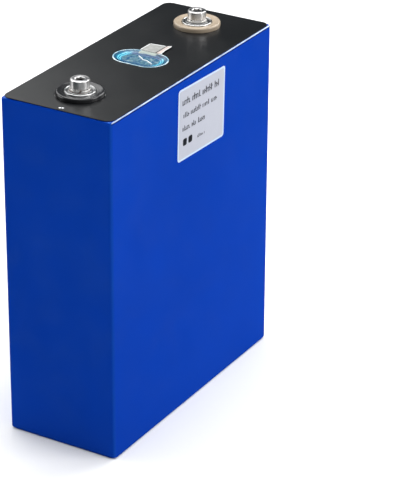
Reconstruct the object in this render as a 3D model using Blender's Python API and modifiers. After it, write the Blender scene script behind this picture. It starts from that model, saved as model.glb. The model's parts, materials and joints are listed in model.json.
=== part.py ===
"""Prismatic lithium iron phosphate battery cell, standing upright on its underside.

Frame: metres, +Z up through the terminals, +X along the wide faces towards the positive
terminal, +Y through the thickness. The origin is the middle of the underside, and the
rating label is on the -Y wide face.

Every piece is its own object. The two terminals are alike, so one set of functions makes
both. Pieces that touch in the real cell are kept a small gap apart.
"""

import math

import bmesh
import bpy
from mathutils import Matrix, Vector

# ---------------------------------------------------------------- driving dimensions
CELL_WIDTH = 0.1737  # along X, over the film
CELL_THICKNESS = 0.0717  # along Y, over the film
SHEET_TOP = 0.2070  # top of the black cover sheet
EDGE_RADIUS = 0.0022  # upright edges, over the film

GAP = 0.0003  # between pieces that touch
THIN_GAP = 0.0002  # between thin sheets that are stuck together

FILM = 0.0003  # wrap film
FILM_TO_CAN = 0.00015
TOP_LIP = 0.0050  # how far the wrap film folds in over the lid
BOTTOM_LIP = 0.0080  # how far it folds in under the can
FILM_FOLD_RADIUS = 0.00025

COVER_SHEET = 0.0003
COVER_SHEET_INSET = 0.0002
COVER_SHEET_CORNER = 0.0050

BOTTOM_FILM_INSET = 0.0010
BOTTOM_FILM_CORNER = 0.0030

CAN_WALL = 0.0008
CAN_FLOOR = 0.0010
LID = 0.0030
LID_FIT = 0.0002  # between the lid's edge and the can's wall

# rating label, on the -Y wide face
LABEL_WIDTH = 0.0510
LABEL_HEIGHT = 0.0430
LABEL_CORNER = 0.0020
LABEL_THICKNESS = 0.0001
LABEL_CENTRE_X = 0.0070
LABEL_BELOW_SHEET = 0.0070

# safety vent
VENT_LENGTH = 0.0326  # along Y, the window in the cover sheet
VENT_WIDTH = 0.0206
VENT_LEDGE = 0.0018  # ledge in the lid that the vent disc sits on
VENT_RECESS = 0.0012
VENT_DISC = 0.0004
VENT_FILM = 0.0002
TAB_LENGTH = 0.0130
TAB_WIDTH = 0.0140
TAB_THICKNESS = 0.0003
TAB_CORNER = 0.0012

# filling port, under the cover sheet
FILL_PORT_X = -0.0310
FILL_HOLE_RADIUS = 0.0013
FILL_CAP_RADIUS = 0.0037
FILL_CAP = 0.0008
FILL_RECESS = 0.0013

# terminals
TERMINAL_X = 0.0620  # each side of the middle
RING_RADIUS = 0.0137  # insulator ring, at its foot
RING_HEIGHT = 0.0027  # above the cover sheet
RING_SHOULDER = 0.0012  # rounding of the ring's top edge
RING_DISH = 0.0005  # the ring's top falls this much towards the terminal block
RING_WINDOW = 0.0003  # clearance of the cover sheet's hole around the ring
BLOCK_RADIUS = 0.0088
BLOCK_HEIGHT = 0.0028  # top of the block, above the cover sheet
BLOCK_THICKNESS = 0.0022
BLOCK_CHAMFER = 0.0004
POLE_RADIUS = 0.0063
POLE_FLANGE_RADIUS = 0.0090
POLE_FLANGE = 0.0018
GASKET_WALL = 0.0008
GASKET_FLANGE_RADIUS = 0.0097
GASKET_FLANGE = 0.0012

# M6 screw with a captive spring washer
SCREW_RADIUS = 0.0030
SCREW_HOLE_RADIUS = 0.0033
SCREW_LENGTH = 0.0100
SCREW_TIP_CHAMFER = 0.0008
SCREW_TIP_ROOM = 0.00045  # between the screw's tip and the bottom of its hole
HEAD_RADIUS = 0.0054
HEAD_HEIGHT = 0.0050
HEAD_CHAMFER = 0.0005
SOCKET_ACROSS_FLATS = 0.0050
SOCKET_DEPTH = 0.0026
SPRING_WASHER_RADIUS = 0.0059
SPRING_WASHER_HOLE = 0.0033
SPRING_WASHER = 0.0012
SPRING_WASHER_SLIT = 0.0008
SLIT_SLANT = math.radians(28)
SEAT_GAP = 0.00015  # between the block, the spring washer and the screw's head

# inside the can
SUPPORT_PLATE = 0.0010
BAG = 0.0002
ROLL_TURNS = 5
ROLL_BAND_GAP = 0.0004
ROLL_CORE_RADIUS = 0.0010
TAB_FOIL = 0.0008
TAB_FOIL_WIDTH = 0.0360
TAB_FOIL_REACH = 0.0100
COLLECTOR = 0.0015
COLLECTOR_WIDTH = 0.0420
COLLECTOR_DEPTH = 0.0480
LOWER_INSULATOR_INNER_X = 0.0380
ROLL_TO_COLLECTOR = 0.0061

ARC_STEPS = 6  # facets in a quarter turn of an outline's corner
TURN_STEPS = 40  # facets around a turned piece
SMALL_TURN_STEPS = 24

# ---------------------------------------------------------------- levels, from the top down
COVER_BOTTOM = SHEET_TOP - COVER_SHEET
WRAP_TOP = COVER_BOTTOM - THIN_GAP
LID_TOP = WRAP_TOP - FILM - THIN_GAP
LID_BOTTOM = LID_TOP - LID
GASKET_BOTTOM = LID_BOTTOM - GAP - GASKET_FLANGE
FLANGE_TOP = GASKET_BOTTOM - GAP
FLANGE_BOTTOM = FLANGE_TOP - POLE_FLANGE
COLLECTOR_TOP = FLANGE_BOTTOM - GAP
COLLECTOR_BOTTOM = COLLECTOR_TOP - COLLECTOR
FOIL_TOP = COLLECTOR_BOTTOM - GAP
ROLL_TOP = COLLECTOR_BOTTOM - ROLL_TO_COLLECTOR

# levels, from the underside up
WRAP_BOTTOM = FILM + THIN_GAP
CAN_BOTTOM = WRAP_BOTTOM + FILM + THIN_GAP
SUPPORT_BOTTOM = CAN_BOTTOM + CAN_FLOOR + GAP
BAG_BOTTOM = SUPPORT_BOTTOM + SUPPORT_PLATE + GAP
ROLL_BOTTOM = BAG_BOTTOM + BAG + GAP

# levels of a terminal
BLOCK_TOP = SHEET_TOP + BLOCK_HEIGHT
WASHER_BOTTOM = BLOCK_TOP + SEAT_GAP
WASHER_TOP = WASHER_BOTTOM + SPRING_WASHER
HEAD_BOTTOM = WASHER_TOP + SEAT_GAP
HEAD_TOP = HEAD_BOTTOM + HEAD_HEIGHT

# half sizes of the nested box outlines: (half width, half depth, corner radius)
OUTSIDE = (CELL_WIDTH / 2, CELL_THICKNESS / 2, EDGE_RADIUS)


def inset(outline, distance):
    """The box outline that lies this far inside another one."""
    half_x, half_y, radius = outline
    return half_x - distance, half_y - distance, max(radius - distance, 0.0004)


FILM_INSIDE = inset(OUTSIDE, FILM)
CAN_OUTSIDE = inset(FILM_INSIDE, FILM_TO_CAN)
CAN_INSIDE = inset(CAN_OUTSIDE, CAN_WALL)
BAG_OUTSIDE = inset(CAN_INSIDE, GAP)
BAG_INSIDE = inset(BAG_OUTSIDE, BAG)

NICKEL = ("nickel_plated_steel", (0.72, 0.71, 0.69), 0.22, 1.0)
ALUMINIUM = ("aluminium", (0.78, 0.79, 0.80), 0.35, 1.0)
COPPER = ("copper", (0.72, 0.38, 0.24), 0.35, 1.0)
BLUE_FILM = ("blue_film", (0.010, 0.075, 0.50), 0.25, 0.0)
BLACK_SHEET = ("black_sheet", (0.018, 0.019, 0.021), 0.45, 0.0)
LABEL_PAPER = ("label_paper", (0.72, 0.72, 0.80), 0.45, 0.0)
VENT_BLUE = ("vent_film", (0.08, 0.38, 0.58), 0.20, 0.0)
TAB_GREY = ("tab_grey", (0.55, 0.56, 0.55), 0.40, 0.0)
BEIGE_PLASTIC = ("beige_plastic", (0.42, 0.34, 0.24), 0.45, 0.0)
BLACK_PLASTIC = ("black_plastic", (0.022, 0.022, 0.024), 0.40, 0.0)
WHITE_PLASTIC = ("white_plastic", (0.75, 0.75, 0.72), 0.50, 0.0)
SEAL_RUBBER = ("seal_rubber", (0.05, 0.05, 0.05), 0.70, 0.0)
CATHODE_FOIL = ("cathode_foil", (0.12, 0.12, 0.13), 0.60, 0.0)


# ---------------------------------------------------------------- scene and materials
def clear_scene():
    for thing in list(bpy.data.objects):
        bpy.data.objects.remove(thing, do_unlink=True)


def new_collection(name):
    collection = bpy.data.collections.new(name)
    bpy.context.scene.collection.children.link(collection)
    return collection


def surface(finish):
    """A Principled material for (name, colour, roughness, metallic), made once."""
    name, colour, roughness, metallic = finish
    material = bpy.data.materials.get(name)
    if material is None:
        material = bpy.data.materials.new(name)
        material.use_nodes = True
        shader = material.node_tree.nodes["Principled BSDF"]
        shader.inputs["Base Color"].default_value = (*colour, 1.0)
        shader.inputs["Roughness"].default_value = roughness
        shader.inputs["Metallic"].default_value = metallic
    return material


def add_part(name, mesh, finish):
    part = bpy.data.objects.new(name, mesh)
    parts.objects.link(part)
    part.data.materials.append(surface(finish))
    return part


def add_cutter(name, mesh):
    cutter = bpy.data.objects.new(name, mesh)
    cutters.objects.link(cutter)
    cutter.hide_render = True
    cutter.display_type = "WIRE"
    return cutter


def cut(part, cutter):
    boolean = part.modifiers.new("cut_" + cutter.name, "BOOLEAN")
    boolean.operation = "DIFFERENCE"
    boolean.solver = "EXACT"
    boolean.object = cutter


# ---------------------------------------------------------------- outlines
def rounded_box(half_x, half_y, radius, centre=(0.0, 0.0)):
    """Corner arcs of a rounded rectangle, anticlockwise; a stadium where the radius is a half side."""
    points = []
    for quarter in range(4):
        middle = math.radians(45 + 90 * quarter)
        corner_x = math.copysign(half_x - radius, math.cos(middle))
        corner_y = math.copysign(half_y - radius, math.sin(middle))
        for step in range(ARC_STEPS + 1):
            angle = math.radians(90) * (quarter + step / ARC_STEPS)
            point = (
                centre[0] + corner_x + radius * math.cos(angle),
                centre[1] + corner_y + radius * math.sin(angle),
            )
            if not points or math.dist(points[-1], point) > 1e-6:
                points.append(point)
    return points


def stadium(length, width, centre=(0.0, 0.0)):
    """A slot outline with its length along Y."""
    return rounded_box(width / 2, length / 2, width / 2, centre)


def circle(radius, centre=(0.0, 0.0), steps=TURN_STEPS):
    turn = 2 * math.pi / steps
    return [
        (centre[0] + radius * math.cos(turn * i), centre[1] + radius * math.sin(turn * i))
        for i in range(steps)
    ]


def sheet_mesh(name, outlines, low, high):
    """A flat piece between two levels: the first outline is its edge, the others are holes."""
    curve = bpy.data.curves.new(name, "CURVE")
    curve.dimensions = "2D"
    curve.fill_mode = "BOTH"
    curve.extrude = (high - low) / 2
    for outline in outlines:
        spline = curve.splines.new("POLY")
        spline.points.add(len(outline) - 1)
        for point, (x, y) in zip(spline.points, outline):
            point.co = (x, y, 0.0, 1.0)
        spline.use_cyclic_u = True
    flat = bpy.data.objects.new(name, curve)
    bpy.context.scene.collection.objects.link(flat)
    bpy.context.view_layer.update()
    evaluated = flat.evaluated_get(bpy.context.evaluated_depsgraph_get())
    mesh = bpy.data.meshes.new_from_object(evaluated)
    bpy.data.objects.remove(flat, do_unlink=True)
    bpy.data.curves.remove(curve)

    welded = bmesh.new()
    welded.from_mesh(mesh)
    bmesh.ops.remove_doubles(welded, verts=welded.verts, dist=1e-6)
    bmesh.ops.translate(welded, verts=welded.verts, vec=(0.0, 0.0, (low + high) / 2))
    welded.to_mesh(mesh)
    welded.free()
    return mesh


def sheet(name, outlines, low, high, finish):
    return add_part(name, sheet_mesh(name, outlines, low, high), finish)


def sheet_cutter(name, outline, low, high):
    return add_cutter(name, sheet_mesh(name, [outline], low, high))


# ---------------------------------------------------------------- turned pieces
def arc(centre_r, centre_z, radius, start, end, steps):
    """Profile points along an arc; the angles are in degrees, from the +R direction up."""
    angles = [math.radians(start + (end - start) * i / steps) for i in range(steps + 1)]
    return [(centre_r + radius * math.cos(a), centre_z + radius * math.sin(a)) for a in angles]


def turned(name, profile, centre, finish, closed=False, steps=TURN_STEPS):
    """A profile of (radius, z) points, outer side downwards, turned about the upright axis."""
    mesh = bpy.data.meshes.new(name)
    points = [(r, 0.0, z) for r, z in profile]
    edges = [(i, i + 1) for i in range(len(points) - 1)]
    if closed:
        edges.append((len(points) - 1, 0))
    mesh.from_pydata(points, edges, [])
    part = add_part(name, mesh, finish)
    part.location = (centre[0], centre[1], 0.0)
    screw = part.modifiers.new("turn", "SCREW")
    screw.axis = "Z"
    screw.angle = 2 * math.pi
    screw.steps = steps
    screw.render_steps = steps
    screw.use_merge_vertices = True
    screw.merge_threshold = 0.00001
    screw.use_smooth_shade = False
    return part


# ---------------------------------------------------------------- case
def make_wrap_film():
    wrap = sheet("wrap_film", [rounded_box(*OUTSIDE)], WRAP_BOTTOM, WRAP_TOP, BLUE_FILM)
    fold = wrap.modifiers.new("fold", "BEVEL")
    fold.width = FILM_FOLD_RADIUS
    fold.segments = 2
    fold.limit_method = "ANGLE"
    fold.angle_limit = math.radians(60)
    cavity = sheet_cutter(
        "wrap_cavity", rounded_box(*FILM_INSIDE), WRAP_BOTTOM + FILM, WRAP_TOP - FILM
    )
    top_mouth = sheet_cutter(
        "wrap_top_mouth", rounded_box(*inset(OUTSIDE, TOP_LIP)), LID_TOP - GAP, SHEET_TOP
    )
    bottom_mouth = sheet_cutter(
        "wrap_bottom_mouth", rounded_box(*inset(OUTSIDE, BOTTOM_LIP)), -GAP, CAN_BOTTOM + GAP
    )
    for cutter in (cavity, top_mouth, bottom_mouth):
        cut(wrap, cutter)


def make_bottom_film():
    half_x, half_y, _ = inset(OUTSIDE, BOTTOM_FILM_INSET)
    edge = rounded_box(half_x, half_y, BOTTOM_FILM_CORNER)
    sheet("bottom_film", [edge], 0.0, FILM, BLUE_FILM)


def make_cover_sheet():
    half_x, half_y, _ = inset(OUTSIDE, COVER_SHEET_INSET)
    outlines = [
        rounded_box(half_x, half_y, COVER_SHEET_CORNER),
        stadium(VENT_LENGTH, VENT_WIDTH),
        circle(RING_RADIUS + RING_WINDOW, (TERMINAL_X, 0.0)),
        circle(RING_RADIUS + RING_WINDOW, (-TERMINAL_X, 0.0)),
    ]
    sheet("top_cover_sheet", outlines, COVER_BOTTOM, SHEET_TOP, BLACK_SHEET)


def make_label():
    """A thin sheet made lying down, then stood up on the -Y wide face."""
    edge = rounded_box(LABEL_WIDTH / 2, LABEL_HEIGHT / 2, LABEL_CORNER)
    label = sheet("rating_label", [edge], 0.0, LABEL_THICKNESS, LABEL_PAPER)
    centre_z = SHEET_TOP - LABEL_BELOW_SHEET - LABEL_HEIGHT / 2
    back_y = -CELL_THICKNESS / 2 - LABEL_THICKNESS
    place = Matrix.Translation((LABEL_CENTRE_X, back_y, centre_z))
    label.matrix_world = place @ Matrix.Rotation(math.radians(90), 4, "X")


def make_can():
    can = sheet("can", [rounded_box(*CAN_OUTSIDE)], CAN_BOTTOM, LID_TOP, ALUMINIUM)
    cavity = sheet_cutter(
        "can_cavity", rounded_box(*CAN_INSIDE), CAN_BOTTOM + CAN_FLOOR, LID_TOP + GAP
    )
    cut(can, cavity)


def make_lid():
    edge = rounded_box(*inset(CAN_INSIDE, LID_FIT))
    sleeve_hole = POLE_RADIUS + THIN_GAP + GASKET_WALL + THIN_GAP
    vent_hole = stadium(VENT_LENGTH - 2 * VENT_LEDGE, VENT_WIDTH - 2 * VENT_LEDGE)
    outlines = [
        edge,
        vent_hole,
        circle(sleeve_hole, (TERMINAL_X, 0.0)),
        circle(sleeve_hole, (-TERMINAL_X, 0.0)),
        circle(FILL_HOLE_RADIUS, (FILL_PORT_X, 0.0), SMALL_TURN_STEPS),
    ]
    lid = sheet("lid_plate", outlines, LID_BOTTOM, LID_TOP, ALUMINIUM)
    vent_seat = sheet_cutter(
        "vent_seat", stadium(VENT_LENGTH, VENT_WIDTH), LID_TOP - VENT_RECESS, LID_TOP + GAP
    )
    fill_seat = sheet_cutter(
        "fill_seat",
        circle(FILL_CAP_RADIUS + GAP, (FILL_PORT_X, 0.0), SMALL_TURN_STEPS),
        LID_TOP - FILL_RECESS,
        LID_TOP + GAP,
    )
    cut(lid, vent_seat)
    cut(lid, fill_seat)


def make_vent():
    low = LID_TOP - VENT_RECESS + GAP
    disc = stadium(VENT_LENGTH - 2 * GAP, VENT_WIDTH - 2 * GAP)
    sheet("vent_disc", [disc], low, low + VENT_DISC, ALUMINIUM)

    low = LID_TOP + THIN_GAP
    film = stadium(VENT_LENGTH - 2 * GAP, VENT_WIDTH - 2 * GAP)
    sheet("vent_guard_film", [film], low, low + VENT_FILM, VENT_BLUE)


def make_pull_tab():
    """The tab's origin is on its fold line, at the vent window's edge."""
    edge = rounded_box(TAB_LENGTH / 2, TAB_WIDTH / 2, TAB_CORNER, (TAB_LENGTH / 2, 0.0))
    tab = sheet("pull_tab", [edge], 0.0, TAB_THICKNESS, TAB_GREY)
    tab.location = (VENT_WIDTH / 2, 0.0, SHEET_TOP + THIN_GAP)


def make_fill_port():
    top = LID_TOP - FILL_RECESS - GAP
    radius = FILL_HOLE_RADIUS - GAP
    plug = [(0.0, top), (radius, top), (radius, LID_BOTTOM), (0.0, LID_BOTTOM)]
    place = (FILL_PORT_X, 0.0)
    turned("fill_port_plug", plug, place, SEAL_RUBBER, steps=SMALL_TURN_STEPS)

    low = LID_TOP - FILL_RECESS + GAP
    high = low + FILL_CAP
    cap = [(0.0, high), (FILL_CAP_RADIUS, high), (FILL_CAP_RADIUS, low), (0.0, low)]
    turned("fill_port_cap", cap, place, ALUMINIUM, steps=SMALL_TURN_STEPS)


# ---------------------------------------------------------------- terminals
def make_insulator_ring(side, x, finish):
    """A cup with a rounded shoulder and a dished top, around the terminal block."""
    foot = LID_TOP + THIN_GAP
    top = SHEET_TOP + RING_HEIGHT
    floor = BLOCK_TOP - BLOCK_THICKNESS - GAP
    pocket = BLOCK_RADIUS + THIN_GAP
    bore = POLE_RADIUS + GAP
    shoulder = arc(RING_RADIUS - RING_SHOULDER, top - RING_SHOULDER, RING_SHOULDER, 90, 0, 4)
    profile = [
        *shoulder,
        (RING_RADIUS, foot),
        (bore, foot),
        (bore, floor),
        (pocket, floor),
        (pocket, top - RING_DISH),
    ]
    turned(side + "_insulator_ring", profile, (x, 0.0), finish, closed=True)


def make_terminal_block(side, x):
    low = BLOCK_TOP - BLOCK_THICKNESS
    bore = POLE_RADIUS + THIN_GAP
    profile = [
        (bore, BLOCK_TOP),
        (BLOCK_RADIUS - BLOCK_CHAMFER, BLOCK_TOP),
        (BLOCK_RADIUS, BLOCK_TOP - BLOCK_CHAMFER),
        (BLOCK_RADIUS, low),
        (bore, low),
    ]
    turned(side + "_terminal_block", profile, (x, 0.0), ALUMINIUM, closed=True)


def make_terminal_pole(side, x, finish):
    """A rivet with a blind hole for the screw."""
    hole_bottom = HEAD_BOTTOM - SCREW_LENGTH - SCREW_TIP_ROOM
    profile = [
        (0.0, hole_bottom),
        (SCREW_HOLE_RADIUS, hole_bottom),
        (SCREW_HOLE_RADIUS, BLOCK_TOP),
        (POLE_RADIUS, BLOCK_TOP),
        (POLE_RADIUS, FLANGE_TOP),
        (POLE_FLANGE_RADIUS, FLANGE_TOP),
        (POLE_FLANGE_RADIUS, FLANGE_BOTTOM),
        (0.0, FLANGE_BOTTOM),
    ]
    turned(side + "_terminal_pole", profile, (x, 0.0), finish)


def make_gasket(side, x):
    """A flanged sleeve that seals the pole in the lid's hole."""
    bore = POLE_RADIUS + THIN_GAP
    sleeve = bore + GASKET_WALL
    profile = [
        (bore, LID_TOP),
        (sleeve, LID_TOP),
        (sleeve, GASKET_BOTTOM + GASKET_FLANGE),
        (GASKET_FLANGE_RADIUS, GASKET_BOTTOM + GASKET_FLANGE),
        (GASKET_FLANGE_RADIUS, GASKET_BOTTOM),
        (bore, GASKET_BOTTOM),
    ]
    turned(side + "_gasket", profile, (x, 0.0), SEAL_RUBBER, closed=True)


def make_spring_washer(side, x, slit_angle):
    """A split ring; its slit is cut on a slant."""
    profile = [
        (SPRING_WASHER_HOLE, WASHER_TOP),
        (SPRING_WASHER_RADIUS, WASHER_TOP),
        (SPRING_WASHER_RADIUS, WASHER_BOTTOM),
        (SPRING_WASHER_HOLE, WASHER_BOTTOM),
    ]
    washer = turned(side + "_spring_washer", profile, (x, 0.0), NICKEL, closed=True)

    blade = bmesh.new()
    bmesh.ops.create_cube(blade, size=1.0)
    mesh = bpy.data.meshes.new(side + "_washer_slit")
    reach = SPRING_WASHER_RADIUS - SPRING_WASHER_HOLE + 2 * GAP
    bmesh.ops.scale(blade, verts=blade.verts, vec=(reach, SPRING_WASHER_SLIT, 4 * SPRING_WASHER))
    blade.to_mesh(mesh)
    blade.free()
    cutter = add_cutter(side + "_washer_slit", mesh)
    middle = Vector(((SPRING_WASHER_RADIUS + SPRING_WASHER_HOLE) / 2, 0.0, 0.0))
    cutter.matrix_world = (
        Matrix.Translation((x, 0.0, (WASHER_TOP + WASHER_BOTTOM) / 2))
        @ Matrix.Rotation(slit_angle, 4, "Z")
        @ Matrix.Translation(middle)
        @ Matrix.Rotation(SLIT_SLANT, 4, "X")
    )
    cut(washer, cutter)


def make_screw(side, x, socket_angle):
    tip = HEAD_BOTTOM - SCREW_LENGTH
    profile = [
        (0.0, HEAD_TOP),
        (HEAD_RADIUS - HEAD_CHAMFER, HEAD_TOP),
        (HEAD_RADIUS, HEAD_TOP - HEAD_CHAMFER),
        (HEAD_RADIUS, HEAD_BOTTOM),
        (SCREW_RADIUS, HEAD_BOTTOM),
        (SCREW_RADIUS, tip + SCREW_TIP_CHAMFER),
        (SCREW_RADIUS - SCREW_TIP_CHAMFER, tip),
        (0.0, tip),
    ]
    screw = turned(side + "_screw", profile, (x, 0.0), NICKEL)

    key = bmesh.new()
    corner_radius = SOCKET_ACROSS_FLATS / 2 / math.cos(math.radians(30))
    bmesh.ops.create_cone(
        key,
        cap_ends=True,
        segments=6,
        radius1=corner_radius,
        radius2=corner_radius,
        depth=2 * SOCKET_DEPTH,
    )
    mesh = bpy.data.meshes.new(side + "_hex_key")
    key.to_mesh(mesh)
    key.free()
    cutter = add_cutter(side + "_hex_key", mesh)
    cutter.location = (x, 0.0, HEAD_TOP)
    cutter.rotation_euler = (0.0, 0.0, socket_angle)
    cut(screw, cutter)


def make_lower_insulator(side, x):
    """The plastic plate under the lid, with a hole around the gasket's flange."""
    half_x, half_y, _ = inset(CAN_INSIDE, 2 * GAP)
    width = half_x - LOWER_INSULATOR_INNER_X
    centre = math.copysign(LOWER_INSULATOR_INNER_X + width / 2, x)
    outlines = [
        rounded_box(width / 2, half_y, EDGE_RADIUS, (centre, 0.0)),
        circle(GASKET_FLANGE_RADIUS + GAP, (x, 0.0)),
    ]
    low = GASKET_BOTTOM
    high = GASKET_BOTTOM + GASKET_FLANGE
    sheet(side + "_lower_insulator", outlines, low, high, BLACK_PLASTIC)


def make_current_collector(side, x, finish):
    edge = rounded_box(COLLECTOR_WIDTH / 2, COLLECTOR_DEPTH / 2, EDGE_RADIUS, (x, 0.0))
    sheet(side + "_current_collector", [edge], COLLECTOR_BOTTOM, COLLECTOR_TOP, finish)


def make_foil_tab(side, number, x, roll_y, finish):
    """A stack of foils that rises from a roll and folds in under the collector.

    Its outline is drawn in the (Y, Z) plane and pushed along X.
    """
    towards_middle = -math.copysign(1.0, roll_y)
    rise = FOIL_TOP - ROLL_TOP - GAP
    outline = [
        (0.0, 0.0),
        (TAB_FOIL, 0.0),
        (TAB_FOIL, rise - TAB_FOIL),
        (TAB_FOIL_REACH, rise - TAB_FOIL),
        (TAB_FOIL_REACH, rise),
        (0.0, rise),
    ]
    if towards_middle < 0:
        outline = [(-y, z) for y, z in reversed(outline)]
    half = TAB_FOIL_WIDTH / 2
    tab = sheet(f"{side}_foil_tab_{number}", [outline], -half, half, finish)
    # the outline's first axis becomes Y, its second Z, and its thickness X
    turn = Matrix(((0, 0, 1, 0), (1, 0, 0, 0), (0, 1, 0, 0), (0, 0, 0, 1)))
    tab.matrix_world = Matrix.Translation((x, roll_y, ROLL_TOP + GAP)) @ turn


# ---------------------------------------------------------------- inside the can
def wound_band(half_x, half_y, turns):
    """The outline of one long band wound into a flat roll, seen along its winding axis."""
    pitch = (half_y - ROLL_CORE_RADIUS + ROLL_BAND_GAP) / (turns + 1)
    band = pitch - ROLL_BAND_GAP
    straight = half_x - half_y
    inner, outer = [], []
    for half_turn in range(2 * turns):
        end_x = straight if half_turn % 2 == 0 else -straight
        for step in range(ARC_STEPS + 1):
            wound = half_turn + step / ARC_STEPS
            angle = math.pi * (wound - 0.5)
            radius = ROLL_CORE_RADIUS + pitch * wound / 2
            for side, distance in ((inner, radius), (outer, radius + band)):
                side.append((end_x + distance * math.cos(angle), distance * math.sin(angle)))
    return outer + inner[::-1]


def make_rolls():
    half_x, half_y, _ = inset(BAG_INSIDE, GAP)
    roll_half_y = (half_y - GAP) / 2
    for number, sign in ((1, -1), (2, 1)):
        outline = wound_band(half_x - GAP, roll_half_y, ROLL_TURNS)
        centre_y = sign * (roll_half_y + GAP)
        outline = [(x, y + centre_y) for x, y in outline]
        sheet(f"jelly_roll_{number}", [outline], ROLL_BOTTOM, ROLL_TOP, CATHODE_FOIL)
        for side, x, finish in (
            ("positive", TERMINAL_X, ALUMINIUM),
            ("negative", -TERMINAL_X, COPPER),
        ):
            make_foil_tab(side, number, x, centre_y, finish)


def make_bag():
    bag = sheet("insulating_bag", [rounded_box(*BAG_OUTSIDE)], BAG_BOTTOM, ROLL_TOP, WHITE_PLASTIC)
    cavity = sheet_cutter(
        "bag_cavity", rounded_box(*BAG_INSIDE), BAG_BOTTOM + BAG, ROLL_TOP + GAP
    )
    cut(bag, cavity)


def make_support_plate():
    edge = rounded_box(*BAG_OUTSIDE)
    high = SUPPORT_BOTTOM + SUPPORT_PLATE
    sheet("bottom_support_plate", [edge], SUPPORT_BOTTOM, high, WHITE_PLASTIC)


def make_terminal(side, x, pole_finish, ring_finish, slit_angle, socket_angle):
    make_insulator_ring(side, x, ring_finish)
    make_terminal_block(side, x)
    make_terminal_pole(side, x, pole_finish)
    make_gasket(side, x)
    make_spring_washer(side, x, slit_angle)
    make_screw(side, x, socket_angle)
    make_lower_insulator(side, x)
    make_current_collector(side, x, pole_finish)


clear_scene()
parts = new_collection("prismatic_battery_cell")
cutters = new_collection("cutters")

make_wrap_film()
make_bottom_film()
make_cover_sheet()
make_label()
make_can()
make_lid()
make_vent()
make_pull_tab()
make_fill_port()
make_terminal(
    "positive", TERMINAL_X, ALUMINIUM, BEIGE_PLASTIC, math.radians(305), math.radians(8)
)
make_terminal(
    "negative", -TERMINAL_X, COPPER, BLACK_PLASTIC, math.radians(214), math.radians(22)
)
make_rolls()
make_bag()
make_support_plate()
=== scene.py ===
"""The looks of the prismatic battery cell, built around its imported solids.

Everything is in metres, in the cell's own frame: +Z up through the terminals, +X towards the
positive terminal, and the label on the -Y wide face. The pieces people see, all but the
underside's film, are made again here, finer than their solids and inside the model's box.
"""

import json
import math
import random

import bmesh
import bpy
from mathutils import Matrix, Vector, noise


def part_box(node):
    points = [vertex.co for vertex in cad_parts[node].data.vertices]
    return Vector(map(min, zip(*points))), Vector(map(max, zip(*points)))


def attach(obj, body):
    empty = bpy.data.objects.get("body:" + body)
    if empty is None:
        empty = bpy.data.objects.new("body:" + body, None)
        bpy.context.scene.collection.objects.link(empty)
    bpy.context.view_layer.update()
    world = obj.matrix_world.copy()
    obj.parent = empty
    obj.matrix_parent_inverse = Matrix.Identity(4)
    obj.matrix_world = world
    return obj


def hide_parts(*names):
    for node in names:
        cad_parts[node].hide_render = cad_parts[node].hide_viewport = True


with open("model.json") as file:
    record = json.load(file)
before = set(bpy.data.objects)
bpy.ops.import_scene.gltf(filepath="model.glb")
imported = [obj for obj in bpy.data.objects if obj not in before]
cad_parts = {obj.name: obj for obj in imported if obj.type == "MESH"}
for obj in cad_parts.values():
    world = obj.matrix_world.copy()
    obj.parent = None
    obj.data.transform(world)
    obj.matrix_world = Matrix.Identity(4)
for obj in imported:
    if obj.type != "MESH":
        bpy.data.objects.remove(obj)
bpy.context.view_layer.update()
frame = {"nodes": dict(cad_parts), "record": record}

MM = 0.001
CELL = "cell"  # the body that everything fixed rides on
SIDES = ("positive", "negative")
TURN_STEPS = 96  # facets around a turned piece
FINE_STEPS = 144  # facets around a large or bright one

# -------- places, from the frame
wrap_low, wrap_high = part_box("wrap_film")
sheet_low, sheet_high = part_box("top_cover_sheet")
tab_low, tab_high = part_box("pull_tab")
label_low, label_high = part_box("rating_label")
SHEET_TOP = sheet_high.z


def axis_x(side):
    """Where a terminal's axis stands along X."""
    low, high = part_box(side + "_insulator_ring")
    return (low.x + high.x) / 2


def radius_of(node):
    """The radius of a round solid."""
    low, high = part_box(node)
    return (high.x - low.x) / 2


# -------- mesh tools
def linked(name, data):
    """A new object in the scene."""
    thing = bpy.data.objects.new(name, data)
    bpy.context.scene.collection.objects.link(thing)
    return thing


def applied(piece, *others):
    """The mesh that an object shows. The object and its helpers are removed."""
    bpy.context.view_layer.update()
    evaluated = piece.evaluated_get(bpy.context.evaluated_depsgraph_get())
    mesh = bpy.data.meshes.new_from_object(evaluated)
    for thing in (piece, *others):
        bpy.data.objects.remove(thing, do_unlink=True)
    return mesh


def finish_mesh(mesh, sharp=35.0, closed=True):
    """Makes a closed mesh's faces point out, and shades it smooth between sharp edges."""
    shape = bmesh.new()
    shape.from_mesh(mesh)
    bmesh.ops.remove_doubles(shape, verts=shape.verts, dist=1e-7)
    if closed:
        bmesh.ops.recalc_face_normals(shape, faces=shape.faces)
    shape.to_mesh(mesh)
    shape.free()
    mesh.shade_smooth()
    mesh.set_sharp_from_angle(angle=math.radians(sharp))
    return mesh


def loft(name, rows, close=False, caps=True, sharp=35.0):
    """Faces between closed rows of points. close joins the last row to the first, and without
    it caps fills both.
    """
    count = len(rows[0])
    points = [tuple(point) for row in rows for point in row]
    faces = []
    for i in range(len(rows) if close else len(rows) - 1):
        here, there = i * count, (i + 1) % len(rows) * count
        for j in range(count):
            k = (j + 1) % count
            faces.append((here + j, here + k, there + k, there + j))
    if caps and not close:
        last = (len(rows) - 1) * count
        faces.append(tuple(range(count)))
        faces.append(tuple(range(last, last + count)))
    mesh = bpy.data.meshes.new(name)
    mesh.from_pydata(points, [], faces)
    return finish_mesh(mesh, sharp, closed=caps or close)


def ring(radius, z, centre, steps=TURN_STEPS):
    """A level circle of points."""
    turn = 2 * math.pi / steps
    return [
        (centre[0] + radius * math.cos(turn * i), centre[1] + radius * math.sin(turn * i), z)
        for i in range(steps)
    ]


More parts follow.
